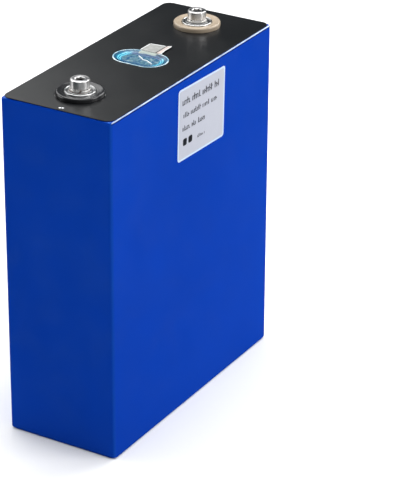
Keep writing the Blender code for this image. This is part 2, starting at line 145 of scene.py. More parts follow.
def turned(name, profile, centre, close=False, steps=TURN_STEPS, sharp=30.0):
    """A profile of (radius, z) points turned about an upright axis."""
    rows = [ring(r, z, centre, steps) for r, z in profile]
    return loft(name, rows, close=close, sharp=sharp)


def arc(centre_r, centre_z, radius, start, end, steps=6):
    """Points of a profile's rounding, from one angle to another in degrees."""
    angles = [math.radians(start + (end - start) * i / steps) for i in range(steps + 1)]
    return [(centre_r + radius * math.cos(a), centre_z + radius * math.sin(a)) for a in angles]


def rounded_box(half_x, half_y, radius, corner_steps=8, runs=None, centre=(0.0, 0.0)):
    """A rounded rectangle's points, anticlockwise.

    runs gives the numbers of even steps that its straight sides take along X and along Y.
    """
    points = []
    for quarter in range(4):
        middle = math.radians(45 + 90 * quarter)
        corner_x = centre[0] + math.copysign(half_x - radius, math.cos(middle))
        corner_y = centre[1] + math.copysign(half_y - radius, math.sin(middle))
        for step in range(corner_steps + 1):
            angle = math.radians(90) * (quarter + step / corner_steps)
            x = corner_x + radius * math.cos(angle)
            y = corner_y + radius * math.sin(angle)
            points.append((x, y))
    if runs is None:
        return points
    divided = []
    for quarter in range(4):
        start = quarter * (corner_steps + 1)
        corner = points[start : start + corner_steps + 1]
        after = points[(start + corner_steps + 1) % len(points)]
        pieces = runs[quarter % 2]
        divided += corner
        for i in range(1, pieces):
            share = i / pieces
            divided.append(
                tuple(corner[-1][k] + (after[k] - corner[-1][k]) * share for k in range(2))
            )
    return divided


def flat_curve(name, outlines, low, high, edge=0.0):
    """A flat piece between two levels, with rounded edges and holes, from a filled 2D curve."""
    curve = bpy.data.curves.new(name, "CURVE")
    curve.dimensions = "2D"
    curve.fill_mode = "BOTH"
    curve.extrude = (high - low) / 2 - edge
    curve.bevel_depth = edge
    curve.bevel_resolution = 2
    curve.offset = -edge
    for outline in outlines:
        spline = curve.splines.new("POLY")
        spline.points.add(len(outline) - 1)
        for point, (x, y) in zip(spline.points, outline):
            point.co = (x, y, 0.0, 1.0)
        spline.use_cyclic_u = True
    mesh = applied(linked(name, curve))
    bpy.data.curves.remove(curve)
    mesh.transform(Matrix.Translation((0.0, 0.0, (low + high) / 2)))
    mesh.name = name
    return finish_mesh(mesh)


def cut(name, mesh, *cutters):
    """The mesh with the cutter meshes taken out of it."""
    piece = linked(name, mesh)
    tools = []
    for cutter in cutters:
        tool = linked(cutter.name, cutter)
        boolean = piece.modifiers.new(cutter.name, "BOOLEAN")
        boolean.operation = "DIFFERENCE"
        boolean.solver = "EXACT"
        boolean.object = tool
        tools.append(tool)
    result = applied(piece, *tools)
    result.name = name + "_cut"
    return finish_mesh(result)


def joined(name, meshes):
    """Several meshes in one, each still a body of its own."""
    shape = bmesh.new()
    for mesh in meshes:
        shape.from_mesh(mesh)
    whole = bpy.data.meshes.new(name)
    shape.to_mesh(whole)
    shape.free()
    whole.shade_smooth()
    whole.set_sharp_from_angle(angle=math.radians(35))
    return whole


def add_piece(name, mesh, look, body=CELL, replaces=()):
    """Puts a mesh in the scene with its look, on the body that it moves with."""
    piece = linked(name, mesh)
    mesh.materials.clear()
    mesh.materials.append(look)
    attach(piece, body)
    if replaces:
        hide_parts(*replaces)
    # flat faces keep their flat shading next to small roundings
    even = piece.modifiers.new("even_shading", "WEIGHTED_NORMAL")
    even.keep_sharp = True
    return piece


def thicken(piece, thickness):
    """Gives a skin its thickness, on the inside."""
    shell = piece.modifiers.new("thickness", "SOLIDIFY")
    shell.thickness = thickness
    shell.offset = -1.0


# -------- material tools
def map_range(tree, value, start, end, low, high):
    """Goes smoothly from low to high as a value goes from start to end."""
    node = tree.nodes.new("ShaderNodeMapRange")
    node.interpolation_type = "SMOOTHSTEP"
    node.inputs["From Min"].default_value = start
    node.inputs["From Max"].default_value = end
    node.inputs["To Min"].default_value = low
    node.inputs["To Max"].default_value = high
    tree.links.new(value, node.inputs["Value"])
    return node.outputs["Result"]


class Look:
    """A Principled material under construction. Plain values go straight on its sockets."""

    def __init__(self, name, colour, roughness, metallic=0.0, **sockets):
        self.material = bpy.data.materials.new(name)
        self.material.use_nodes = True
        self.tree = self.material.node_tree
        self.shader = self.tree.nodes["Principled BSDF"]
        self.place = self.node("ShaderNodeTexCoord").outputs["Object"]
        self.set("Base Color", (*colour, 1.0))
        self.set("Roughness", roughness)
        self.set("Metallic", metallic)
        for socket, value in sockets.items():
            self.set(socket.replace("_", " "), value)
        self.normal = None  # the last relief's output

    def node(self, kind, **properties):
        node = self.tree.nodes.new(kind)
        for key, value in properties.items():
            setattr(node, key, value)
        return node

    def set(self, socket, value):
        self.shader.inputs[socket].default_value = value

    def link(self, output, target):
        self.tree.links.new(output, target)

    def noise(self, scale, detail=3.0, roughness=0.55, stretch=None):
        """Noise over the object's own space; scale is in features a metre."""
        texture = self.node("ShaderNodeTexNoise")
        texture.inputs["Scale"].default_value = scale
        texture.inputs["Detail"].default_value = detail
        texture.inputs["Roughness"].default_value = roughness
        place = self.place
        if stretch:
            mapping = self.node("ShaderNodeMapping")
            mapping.inputs["Scale"].default_value = stretch
            self.link(place, mapping.inputs["Vector"])
            place = mapping.outputs["Vector"]
        self.link(place, texture.inputs["Vector"])
        return texture.outputs["Fac"]

    def span(self, value, low, high, start=0.3, end=0.7):
        """Goes from low to high as a value goes from start to end, by default its middle range."""
        return map_range(self.tree, value, start, end, low, high)

    def rises(self, value, start=0.3, end=0.7):
        """Goes from 0 to 1 as a value goes from start to end; falls goes from 1 to 0."""
        return self.span(value, 0.0, 1.0, start, end)

    def falls(self, value, start=0.3, end=0.7):
        return self.span(value, 1.0, 0.0, start, end)

    def mix(self, amount, colour_a, colour_b):
        """A colour between two; each may be a colour or another node's output."""
        blend = self.node("ShaderNodeMix", data_type="RGBA")
        for socket, colour in (("A", colour_a), ("B", colour_b)):
            target = next(i for i in blend.inputs if i.name == socket and i.type == "RGBA")
            if isinstance(colour, tuple):
                target.default_value = (*colour, 1.0)
            else:
                self.link(colour, target)
        factor = next(i for i in blend.inputs if i.name == "Factor" and i.type == "VALUE")
        self.link(amount, factor)
        return next(o for o in blend.outputs if o.type == "RGBA")

    def math(self, operation, a, b=None):
        """A Math node's output; a and b are numbers or other nodes' outputs."""
        node = self.node("ShaderNodeMath", operation=operation)
        for socket, value in zip(node.inputs, (a, b)):
            if value is None:
                continue
            if isinstance(value, (int, float)):
                socket.default_value = value
            else:
                self.link(value, socket)
        return node.outputs["Value"]

    def times(self, first, *others):
        """The product of outputs and numbers."""
        for other in others:
            first = self.math("MULTIPLY", first, other)
        return first

    def axis(self, name):
        split = self.node("ShaderNodeSeparateXYZ")
        self.link(self.place, split.inputs["Vector"])
        return split.outputs[name]

    def off_middle(self, name):
        """Distance from the cell's middle along an axis."""
        return self.math("ABSOLUTE", self.axis(name))

    def distance(self, a, b):
        """The length of a step a one way and b square to it."""
        return self.math("SQRT", self.math("ADD", self.times(a, a), self.times(b, b)))

    def radius(self, x):
        """Distance from the nearer of two upright axes, which stand at x and -x."""
        return self.distance(self.math("SUBTRACT", self.off_middle("X"), x), self.axis("Y"))

    def colour(self, output):
        self.link(output, self.shader.inputs["Base Color"])

    def rough(self, output):
        self.link(output, self.shader.inputs["Roughness"])

    def bump(self, height, depth):
        """Adds relief of this depth in metres; later calls stack on earlier ones."""
        bump = self.node("ShaderNodeBump")
        bump.inputs["Strength"].default_value = 1.0
        bump.inputs["Distance"].default_value = depth
        self.link(height, bump.inputs["Height"])
        if self.normal:
            self.link(self.normal, bump.inputs["Normal"])
        self.normal = bump.outputs["Normal"]
        self.link(self.normal, self.shader.inputs["Normal"])


def blue_film_look():
    """Glossy blue insulation film: faint cloudiness, fine orange peel, rubbed patches, and painted
    light on its long top folds.
    """
    tint = (0.10, 0.60, 1.0, 1.0)  # its reflections are bluish too
    look = Look("blue_film_look", (0.002, 0.040, 0.37), 0.16, Specular_Tint=tint)
    cloud = look.rises(look.noise(9.0, 3.0))
    blue = look.mix(cloud, (0.0014, 0.0365, 0.350), (0.0020, 0.0415, 0.385))
    # painted highlight: the film is drawn pale where it folds over the lid's long edges, partly
    # stress whitening and partly a painted highlight; painted shade darkens it just below
    top = wrap_high.z
    long_side = wrap_high.y
    side = look.rises(look.off_middle("Y"), long_side - 0.85 * MM, long_side - 0.55 * MM)
    below = look.span(look.axis("Z"), 0.0, 0.8, top - 1.75 * MM, top - 1.40 * MM)
    # painted shade in a dark band just below the long folds
    blue = look.mix(look.times(side, below), blue, (0.0006, 0.012, 0.12))
    near_top = look.rises(look.axis("Z"), top - 0.85 * MM, top - 0.60 * MM)
    uneven = look.span(look.noise(120.0, 3.0), 0.55, 1.0)
    # painted highlight along the long top folds, partly stress whitening
    whitening_and_highlight = look.times(side, near_top, uneven)
    look.colour(look.mix(whitening_and_highlight, blue, (0.50, 0.56, 0.68)))
    rubbed = look.noise(60.0, 6.0, 0.65)
    look.rough(look.span(rubbed, 0.12, 0.24, 0.35, 0.75))
    look.bump(look.noise(2600.0, 2.0), 0.000004)
    look.bump(look.noise(45.0, 2.0, stretch=(1.0, 1.0, 0.5)), 0.00008)
    return look.material


def black_sheet_look():
    """Satin black sheet: fine matt grain, a few rubbed and dusty places."""
    look = Look("black_sheet_look", (0.0055, 0.0060, 0.0068), 0.34, Specular_IOR_Level=0.34)
    dust = look.rises(look.noise(90.0, 6.0, 0.7), 0.45, 0.8)
    look.colour(look.mix(dust, (0.0022, 0.0026, 0.0034), (0.0052, 0.0055, 0.0062)))
    look.rough(look.span(look.noise(35.0, 4.0), 0.32, 0.36))
    look.bump(look.noise(5200.0, 2.0), 0.000006)
    return look.material


def label_look(name, dark, light):
    """Coated paper: faint fibre and a slightly uneven sheen."""
    look = Look(name, light, 0.38)
    fibre = look.rises(look.noise(1500.0, 5.0, 0.7, (1.0, 1.0, 3.0)))
    look.colour(look.mix(fibre, dark, light))
    look.rough(look.span(look.noise(120.0), 0.32, 0.46))
    look.bump(look.noise(3000.0, 3.0), 0.000005)
    return look.material


def ink_look(name, colour):
    """Printing ink, thinner and paler in small patches."""
    look = Look(name, colour, 0.45)
    patch = look.rises(look.noise(4000.0, 4.0, 0.7))
    look.colour(look.mix(patch, colour, tuple(1.5 * c for c in colour)))
    look.bump(look.noise(9000.0), 0.000003)
    return look.material


def moulded_look(name, dark, light, roughness):
    """Moulded plastic: soft mottling, flow marks and a fine spark-eroded grain."""
    look = Look(name, dark, roughness)
    flow = look.rises(look.noise(260.0, 4.0, 0.6, (1.0, 0.4, 1.0)), 0.2, 0.8)
    look.colour(look.mix(flow, dark, light))
    look.rough(look.span(look.noise(500.0, 3.0), roughness - 0.03, roughness + 0.04))
    look.bump(look.noise(7000.0, 3.0), 0.000005)
    return look.material


def metal_look(name, dark, light, roughness, turned_part=False):
    """Bare or plated metal. A turned part's fine marks run round its upright axis, and it gets
    painted shade on its flat faces and in its socket.
    """
    look = Look(name, light, roughness, 1.0)
    stain = look.rises(look.noise(380.0, 5.0, 0.65))
    surface = look.mix(stain, dark, light)
    if turned_part:
        # painted shade on the flat faces and in the socket
        surface = painted_terminal_shade(look, surface)
    look.colour(surface)
    look.rough(look.span(look.noise(900.0, 4.0), roughness - 0.03, roughness + 0.05))
    look.bump(look.noise(2500.0, 3.0), 0.0000010)
    if turned_part:
        look.set("Anisotropic", 0.8)
        look.set("Anisotropic Rotation", 0.25)
        around = look.node("ShaderNodeTangent", direction_type="RADIAL", axis="Z")
        look.link(around.outputs["Tangent"], look.shader.inputs["Tangent"])
    return look.material


def painted_terminal_shade(look, surface):
    """Painted shade on a terminal: the screw's end face and the block's flat face darker, and the
    socket near black deep down.

    Both terminals have the same levels, and stand equally far from the cell's middle.
    """
    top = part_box("positive_screw")[1].z
    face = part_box("positive_terminal_block")[1].z
    radius = look.radius(axis_x("positive"))
    height = look.axis("Z")
    # painted shade on the block's flat face
    on_face = look.falls(radius, 7.75 * MM, 7.95 * MM)
    low = look.falls(height, face + 0.02 * MM, face + 0.06 * MM)
    surface = look.mix(look.times(on_face, low), surface, (0.30, 0.30, 0.30))
    # painted shade on the screw's end face
    on_end = look.falls(radius, 4.15 * MM, 4.40 * MM)
    high = look.rises(height, top - 0.08 * MM, top - 0.02 * MM)
    surface = look.mix(look.times(on_end, high), surface, (0.27, 0.27, 0.28))
    # painted shade, near black, deep in the socket
    socket = look.falls(radius, 2.95 * MM, 3.05 * MM)
    deep = look.falls(height, top - 2.0 * MM, top - 1.0 * MM)
    above = look.rises(height, top - 4.2 * MM, top - 4.0 * MM)
    inside = look.times(socket, deep, above)
    return look.mix(inside, surface, (0.04, 0.04, 0.04))


# -------- blue wrap film
FILM_RELIEF = 0.08 * MM  # room under the box's faces for the overlap strip
FOLD = 1.15 * MM  # radius of the film where it folds over the lid and under the can
EDGE = 2.2 * MM  # radius of its upright edges
TOP_LIP = 5.0 * MM  # how far it reaches over the lid
BOTTOM_LIP = 8.0 * MM  # and under the can
FILM = 0.22 * MM  # its thickness


def film_waves(x, y, z):
    """How far the film lies under its outline: broad slack, and puckers close to its folds."""
    broad = noise.noise(Vector((x, y, z)) * 22.0 + Vector((3.1, 7.7, 1.9)))
    slack = 0.035 * MM * (0.5 + 0.5 * broad)
    to_fold = min(wrap_high.z - z, z - wrap_low.z)
    along = x if abs(abs(y) - wrap_high.y) < EDGE else y
    pucker = noise.noise(Vector((along * 330.0, 5.0 if y > 0 else 9.0, z * 60.0)))
    return slack + 0.05 * MM * (0.5 + 0.5 * pucker) * math.exp(-to_fold / (3.5 * MM))


def make_wrap_film():
    """The sleeve with its folded lips, and the strip where its ends overlap."""
    half_x, half_y = wrap_high.x - FILM_RELIEF, wrap_high.y - FILM_RELIEF
    top, bottom = wrap_high.z, wrap_low.z
    # the rows' insets and heights, from the lip on the lid to the lip under the can
    levels = [(TOP_LIP, top), (3.0 * MM, top), (1.5 * MM, top)]
    levels += [(FOLD - r, z) for r, z in arc(0, top - FOLD, FOLD, 90, 0, 7)]
    near_step, near_steps, far_steps = 1.6 * MM, 12, 44
    near_top = [top - FOLD - near_step * i for i in range(1, near_steps)]
    near_bottom = [bottom + FOLD + near_step * i for i in range(near_steps - 1, 0, -1)]
    rest = near_bottom[0] - near_top[-1]
    between = [near_top[-1] + rest * i / far_steps for i in range(1, far_steps)]
    levels += [(0.0, z) for z in near_top + between + near_bottom]
    levels += [(FOLD - r, z) for r, z in arc(0, bottom + FOLD, FOLD, 0, -90, 7)]
    levels += [(2.5 * MM, bottom), (5.0 * MM, bottom), (BOTTOM_LIP, bottom)]

    rows = []
    for inset, z in levels:
        radius = max(EDGE - inset, 0.15 * MM)
        outline = rounded_box(half_x - inset, half_y - inset, radius, 8, (150, 62))
        row = []
        for x, y in outline:
            sunk = film_waves(x, y, z) if inset < FOLD else 0.0
            off_x = math.copysign(sunk, x) if abs(x) > half_x - inset - radius else 0.0
            off_y = math.copysign(sunk, y) if abs(y) > half_y - inset - radius else 0.0
            row.append((x - off_x, y - off_y, z))
        rows.append(row)
    mesh = loft("wrap_film_skin", rows, caps=False, sharp=50.0)
    mesh.flip_normals()
    film = add_piece(
        "wrap_film_skin", mesh, LOOKS["film"], replaces=["wrap_film"]
    )
    thicken(film, FILM)

    # where the film's two ends overlap, down the narrow side behind the positive terminal
    strip = rounded_box(6.5 * MM, (top - bottom) / 2 - 1.2 * MM, 0.6 * MM, 4)
    mesh = flat_curve("film_overlap", [strip], 0.0, FILM_RELIEF * 0.9, 0.02 * MM)
    # its width goes along Y, its length along Z and its thickness along X
    turn = Matrix(((0, 0, 1, 0), (1, 0, 0, 0), (0, 1, 0, 0), (0, 0, 0, 1)))
    mesh.transform(Matrix.Translation((half_x, 9.0 * MM, (top + bottom) / 2)) @ turn)
    add_piece("film_overlap", mesh, LOOKS["film"])


# -------- black cover sheet
SHEET_CORNER = 5.0 * MM
SHEET_INSET = 0.38 * MM  # under the box's faces, so that the film's fold shows
WINDOW = 16.3 * MM, 10.3 * MM  # half length and half width of the vent's window
DOT_RADIUS = 0.68 * MM
DOTS = (-83.55, -1.15), (-83.0, -2.55)  # by the negative end, in millimetres


def stadium(half_length, half_width, steps=20):
    """A slot's outline with its length along Y."""
    return rounded_box(half_width, half_length, half_width - 1e-6, steps)


def make_cover_sheet():
    """The sheet with its three openings and its printed dots."""
    half_x, half_y = sheet_high.x - SHEET_INSET, sheet_high.y - SHEET_INSET
    outlines = [rounded_box(half_x, half_y, SHEET_CORNER, 14), stadium(*WINDOW)]
    for side in SIDES:
        hole = radius_of(side + "_insulator_ring") + 0.25 * MM
        outlines.append([p[:2] for p in ring(hole, 0.0, (axis_x(side), 0.0))])
    mesh = flat_curve("cover_sheet", outlines, sheet_low.z, sheet_high.z, 0.06 * MM)
    add_piece(
        "cover_sheet", mesh, LOOKS["sheet"], replaces=["top_cover_sheet"]
    )

    dots = []
    for i, (x, y) in enumerate(DOTS):
        profile = [
            (0.05 * MM, SHEET_TOP + 0.025 * MM),
            (DOT_RADIUS - 0.05 * MM, SHEET_TOP + 0.025 * MM),
            (DOT_RADIUS, SHEET_TOP + 0.01 * MM),
            (DOT_RADIUS, SHEET_TOP - 0.02 * MM),
            (0.05 * MM, SHEET_TOP - 0.02 * MM),
        ]
        dots.append(turned(f"dot_{i}", profile, (x * MM, y * MM), steps=24))
    add_piece("cover_sheet_dots", joined("cover_sheet_dots", dots), LOOKS["white_ink"])


# -------- label
LABEL_THICKNESS = 0.05 * MM
LABEL_TILT = 1.8  # degrees clockwise, as it was stuck on
LABEL_BORDER = 1.1 * MM
INK = 0.010 * MM  # how far each printed layer stands over the one under it
WORD_ROWS = (
    # start and end as shares of the width, place down as a share of the height, height, stroke
    (0.085, 0.87, 0.235, 4.1 * MM, 0.88 * MM),
    (0.11, 0.82, 0.415, 3.2 * MM, 0.76 * MM),
    (0.095, 0.57, 0.595, 3.3 * MM, 0.78 * MM),
    (0.42, 0.57, 0.80, 2.0 * MM, 0.48 * MM),
)
MARK = 4.2 * MM  # side of a printed block
MARKS = ((0.15, 0.755), (0.265, 0.755))  # places as shares across and down


def make_label():
    """The sticker, with rows of plain strokes and two blocks where the real one has words."""
    half_w = (label_high.x - label_low.x) / 2
    half_h = (label_high.z - label_low.z) / 2
    width, height = 2 * half_w, 2 * half_h
    outline = rounded_box(half_w, half_h, 2.0 * MM, 8)
    inner = rounded_box(half_w - LABEL_BORDER, half_h - LABEL_BORDER, 1.3 * MM, 8)
    paper = flat_curve("label_sheet", [outline], 0.0, LABEL_THICKNESS, 0.02 * MM)
    front = LABEL_THICKNESS + INK
    field = flat_curve("label_field", [inner], LABEL_THICKNESS - INK, front)
    draw = random.Random(7)
    strokes = []

    def block(x, z, wide, tall):
        shape = rounded_box(wide / 2, tall / 2, min(wide, tall) * 0.25, 3, None, (x, z))
        return flat_curve("block", [shape], front - INK / 2, front + INK)

    def word_row(start, end, down, tall, stroke):
        """Strokes of uneven height in groups, between two shares of the label's width."""
        x = -half_w + start * width
        base = half_h - down * height
        in_word = draw.randint(3, 7)
        while x < -half_w + end * width:
            high = tall if draw.random() < 0.3 else tall * 0.68
            wide = stroke * draw.uniform(0.8, 1.3)
            strokes.append(block(x + wide / 2, base + high / 2, wide, high))
            foot = draw.choice((0.06, 0.5, 0.94))
            if draw.random() < 0.6:
                level = base + stroke * 0.3 + (tall * 0.68 - stroke * 0.6) * foot
                middle = x + wide + stroke * 0.5
                strokes.append(block(middle, level, stroke * 1.3, stroke * 0.6))
            x += wide + stroke * draw.uniform(0.9, 1.2)
            in_word -= 1
            if in_word == 0:
                x += stroke * 2.4
                in_word = draw.randint(3, 7)

    for row in WORD_ROWS:
        word_row(*row)
    bold = [
        block(-half_w + share * width, half_h - down * height, MARK, MARK)
        for share, down in MARKS
    ]

    across, up = (label_low.x + label_high.x) / 2, (label_low.z + label_high.z) / 2
    stand = (
        Matrix.Translation((across, wrap_low.y - 0.035 * MM, up))
        @ Matrix.Rotation(math.radians(LABEL_TILT), 4, "Y")
        @ Matrix.Rotation(math.radians(90), 4, "X")
    )
    for mesh in (paper, field, *strokes, *bold):
        mesh.transform(stand)
    look = LOOKS["label_edge"]
    add_piece("label_sheet", paper, look, replaces=["rating_label"])
    add_piece("label_field", field, LOOKS["label"])
    add_piece("label_words", joined("label_words", strokes), LOOKS["word_ink"])
    add_piece("label_marks", joined("label_marks", bold), LOOKS["mark_ink"])


# -------- vent film and tab
RIM = 0.42 * MM  # half width of the film's pale welded rim
VENT_FILM = 0.08 * MM  # its thickness
DISH_DEPTH = 1.15 * MM
DISH_WALL = 4.6 * MM  # how far the film slopes in from its rim
ARC_STEP = 1.35 * MM  # from one pale arc on that slope to the next
TAB_CREASE = 3.5 * MM  # the tab's crease runs along X, this far to the -Y side
TAB_SKEW = 0.14  # share of the tab's length that its +Y side falls short by
TAB_ROOT = 0.56 * MM  # the tab starts this far from its fold, clear of the film's rim as it lifts


def crease(x, y, points, width, height):
    """Height of a soft ridge that follows a line of points."""
    nearest = 1.0
    for (ax, ay), (bx, by) in zip(points, points[1:]):
        run = Vector((bx - ax, by - ay)) * MM
        away = Vector((x - ax * MM, y - ay * MM))
        share = min(1.0, max(0.0, away.dot(run) / run.length_squared))
        nearest = min(nearest, (away - run * share).length)
    return height * math.exp(-((nearest / width) ** 2))


CREASES = (
    # points in millimetres, width and height
    ([(4.2, 3.6), (2.9, 1.4), (0.8, -1.0), (0.3, -4.4), (-2.4, -8.6)], 0.40 * MM, 0.55 * MM),
    ([(-5.2, 9.0), (-3.6, 4.6), (-3.2, 1.5)], 0.50 * MM, 0.24 * MM),
    ([(5.0, -4.0), (3.0, -6.4), (1.6, -10.2)], 0.50 * MM, 0.28 * MM),
    ([(-3.5, 10.5), (-0.5, 11.8), (2.5, 10.2)], 0.60 * MM, 0.20 * MM),
    ([(-3.5, -10.0), (-0.4, -12.0), (3.2, -11.0)], 0.60 * MM, 0.20 * MM),
)


def film_height(x, y, inset):
    """The film dips from its rim to a nearly level, creased middle."""
    down = min(1.0, inset / DISH_WALL)
    dish = DISH_DEPTH * (down * down * (3 - 2 * down))
    level = SHEET_TOP + 0.12 * MM - dish
    fade = min(1.0, inset / (2.0 * MM))
    for points, width, height in CREASES:
        level += fade * crease(x, y, points, width, height)
    slack = noise.noise(Vector((x * 210.0, y * 150.0, 4.0)))
    fine = noise.noise(Vector((x * 620.0, y * 520.0, 8.0)))
    return level + fade * (0.13 * MM * slack + 0.04 * MM * fine)


def make_vent_film():
    """The dished film over the vent, and its welded rim."""
    half_length, half_width = WINDOW[0] - 0.15 * MM, WINDOW[1] - 0.15 * MM
    rows = []
    row_count, straight_pieces = 40, 36
    for i in range(row_count + 1):
        inset = half_width * 0.985 * (i / row_count)
        outline = stadium(half_length - inset, half_width - inset, 24)
        divided = []
        for j, point in enumerate(outline):
            after = outline[(j + 1) % len(outline)]
            pieces = straight_pieces if math.dist(point, after) > 8.0 * MM else 1
            for k in range(pieces):
                divided.append(tuple(point[n] + (after[n] - point[n]) * k / pieces for n in (0, 1)))
        rows.append([(x, y, film_height(x, y, inset)) for x, y in divided])
    mesh = loft("vent_film_skin", rows, caps=False, sharp=80.0)
    # closes the slit that the innermost row leaves
    shape = bmesh.new()
    shape.from_mesh(mesh)
    open_edges = [e for e in shape.edges if e.is_boundary]
    middle = [e for e in open_edges if all(abs(v.co.x) < 2.0 * MM for v in e.verts)]
    bmesh.ops.holes_fill(shape, edges=[e for e in middle if abs(e.verts[0].co.y) < 7 * MM], sides=0)
    bmesh.ops.recalc_face_normals(shape, faces=shape.faces)
    if sum(f.normal.z for f in shape.faces) < 0:
        bmesh.ops.reverse_faces(shape, faces=shape.faces)
    shape.to_mesh(mesh)
    shape.free()
    mesh.shade_smooth()
    film = add_piece(
        "vent_film_skin", mesh, LOOKS["vent"], replaces=["vent_guard_film"]
    )
    thicken(film, VENT_FILM)

    # the pale rim where the film is stuck down round the window
    rim = []
    for angle in range(0, 360, 30):
        out = 0.12 * MM + RIM * math.cos(math.radians(angle))
        up = 0.13 * MM * math.sin(math.radians(angle)) + 0.08 * MM
        rim.append(
            [(x, y, SHEET_TOP + up) for x, y in stadium(WINDOW[0] + out, WINDOW[1] + out, 24)]
        )
    mesh = loft("vent_film_rim", rim, close=True, sharp=60.0)
    add_piece("vent_film_rim", mesh, LOOKS["rim"])


def make_pull_tab():
    """A thin tab with rounded corners, creased along one side, where its edge stands up."""
    start_x = tab_low.x + TAB_ROOT
    length, half_width = tab_high.x - start_x, (tab_high.y - tab_low.y) / 2
    corner = 1.1 * MM
    thick = 0.14 * MM
    steep = 0.16  # the slope past the crease
    steps, across = 40, 48
    rows = []
    for i in range(steps + 1):
        x = length * (0.5 - 0.5 * math.cos(math.pi * i / steps))
        to_end = min(x, length - x)
        narrow = corner - math.sqrt(max(0.0, corner**2 - max(0.0, corner - to_end) ** 2))
        half = half_width - (narrow if x > length / 2 else 0.0)
        low = tab_low.z + 0.10 * MM * min(1.0, 0.2 + x / (2.0 * MM))
        row = []
        for start, direction in ((0.0, 1), (thick, -1)):
            for j in range(across + 1):
                y = half * (2 * j / across - 1) * direction
                past = -TAB_CREASE - y
                rise = steep * max(0.0, past) * min(1.0, x / (4.0 * MM))
                groove = 0.09 * MM * math.exp(-((past / (0.25 * MM)) ** 2))
                shorter = 1.0 - TAB_SKEW * (0.5 + y / (2 * half_width))
                row.append((start_x + x * shorter, y, low + start + rise - groove))
        rows.append(row)
    mesh = loft("pull_tab_film", rows, sharp=45.0)
    add_piece(
        "pull_tab_film", mesh, LOOKS["tab"], "vent_tab", replaces=["pull_tab"]
    )


def vent_film_look():
    """Clear blue film: a sloping wall with painted shade on its sides and a painted highlight at
    its ends, round a creased pale middle with painted highlights on its ridges.
    """
    look = Look("vent_film_look", (0.03, 0.14, 0.25), 0.18, Specular_IOR_Level=0.35)
    along = look.off_middle("Y")
    beyond = look.math("MAXIMUM", look.math("SUBTRACT", along, WINDOW[0] - WINDOW[1]), 0.0)
    across = look.axis("X")
    smooth_spine = look.distance(across, beyond)
    wobble = look.times(look.math("SUBTRACT", look.noise(230.0, 3.0), 0.5), 1.8 * MM)
    from_spine = look.math("ADD", smooth_spine, wobble)
    wall = look.rises(from_spine, 4.8 * MM, 6.2 * MM)
    outer = look.rises(from_spine, 7.9 * MM, 8.7 * MM)
    to_end = look.rises(along, 8.5 * MM, 11.5 * MM)

    # the middle is pale and streaky, with a painted white highlight where a ridge of the film
    # stands up
    streak = look.rises(look.noise(300.0, 4.0, 0.6, (0.5, 1.6, 1.0)), 0.36, 0.62)
    middle = look.mix(streak, (0.020, 0.078, 0.165), (0.088, 0.175, 0.215))
    cloudy = look.span(look.noise(520.0, 4.0), 0.0, 0.7, 0.50, 0.72)
    middle = look.mix(cloudy, middle, (0.19, 0.33, 0.41))
    # painted highlight on the ridges that stand up
    high = look.rises(look.axis("Z"), SHEET_TOP - 0.80 * MM, SHEET_TOP - 0.58 * MM)
    inside = look.falls(smooth_spine, 4.4 * MM, 5.0 * MM)
    middle = look.mix(look.times(high, inside), middle, (0.74, 0.78, 0.80))

    # the wall is drawn in steps, which show as arcs
    ragged = look.times(look.noise(480.0, 3.0, 0.6), 1.6 * MM)
    steps = look.times(look.math("ADD", from_spine, ragged), 2 * math.pi / ARC_STEP)
    arcs = look.rises(look.math("SINE", steps), -0.3, 1.0)
    # painted shade on the wall's sides, and a painted highlight on its ends
    painted_shade_wall = look.mix(arcs, (0.008, 0.038, 0.105), (0.035, 0.125, 0.25))
    painted_lit_wall = look.mix(arcs, (0.018, 0.20, 0.34), (0.17, 0.56, 0.66))
    sloping = look.mix(to_end, painted_shade_wall, painted_lit_wall)
    lit_side = look.rises(look.noise(150.0, 2.0), 0.4, 0.6)
    outside = look.mix(lit_side, (0.008, 0.035, 0.075), (0.025, 0.10, 0.17))

    # the tab's pale film runs on a little way inside the rim
    film = look.mix(outer, look.mix(wall, middle, sloping), outside)
    from_root = look.math("ABSOLUTE", look.math("SUBTRACT", look.axis("Y"), 0.8 * MM))
    width = look.falls(from_root, 5.0 * MM, 6.0 * MM)
    root = look.rises(look.math("ADD", across, wobble), 7.3 * MM, 8.3 * MM)
    look.colour(look.mix(look.times(width, root), film, (0.27, 0.32, 0.29)))
    look.bump(look.noise(1500.0, 3.0), 0.00002)
    return look.material


def rim_look():
    """The film's welded rim: pale and uneven, and grey where the tab's film crosses it."""
    look = Look("rim_look", (0.45, 0.60, 0.66), 0.24)
    patchy = look.rises(look.noise(190.0, 4.0, 0.6), 0.38, 0.62)
    pale = look.mix(patchy, (0.20, 0.36, 0.46), (0.60, 0.70, 0.74))
    beside = look.falls(look.off_middle("Y"), 5.8 * MM, 6.2 * MM)
    at_tab = look.times(beside, look.rises(look.axis("X"), 8.0 * MM, 9.0 * MM))
    look.colour(look.mix(at_tab, pale, (0.30, 0.33, 0.31)))
    look.rough(look.span(look.noise(500.0, 3.0), 0.20, 0.30))
    look.bump(look.noise(1800.0, 3.0), 0.000010)
    return look.material


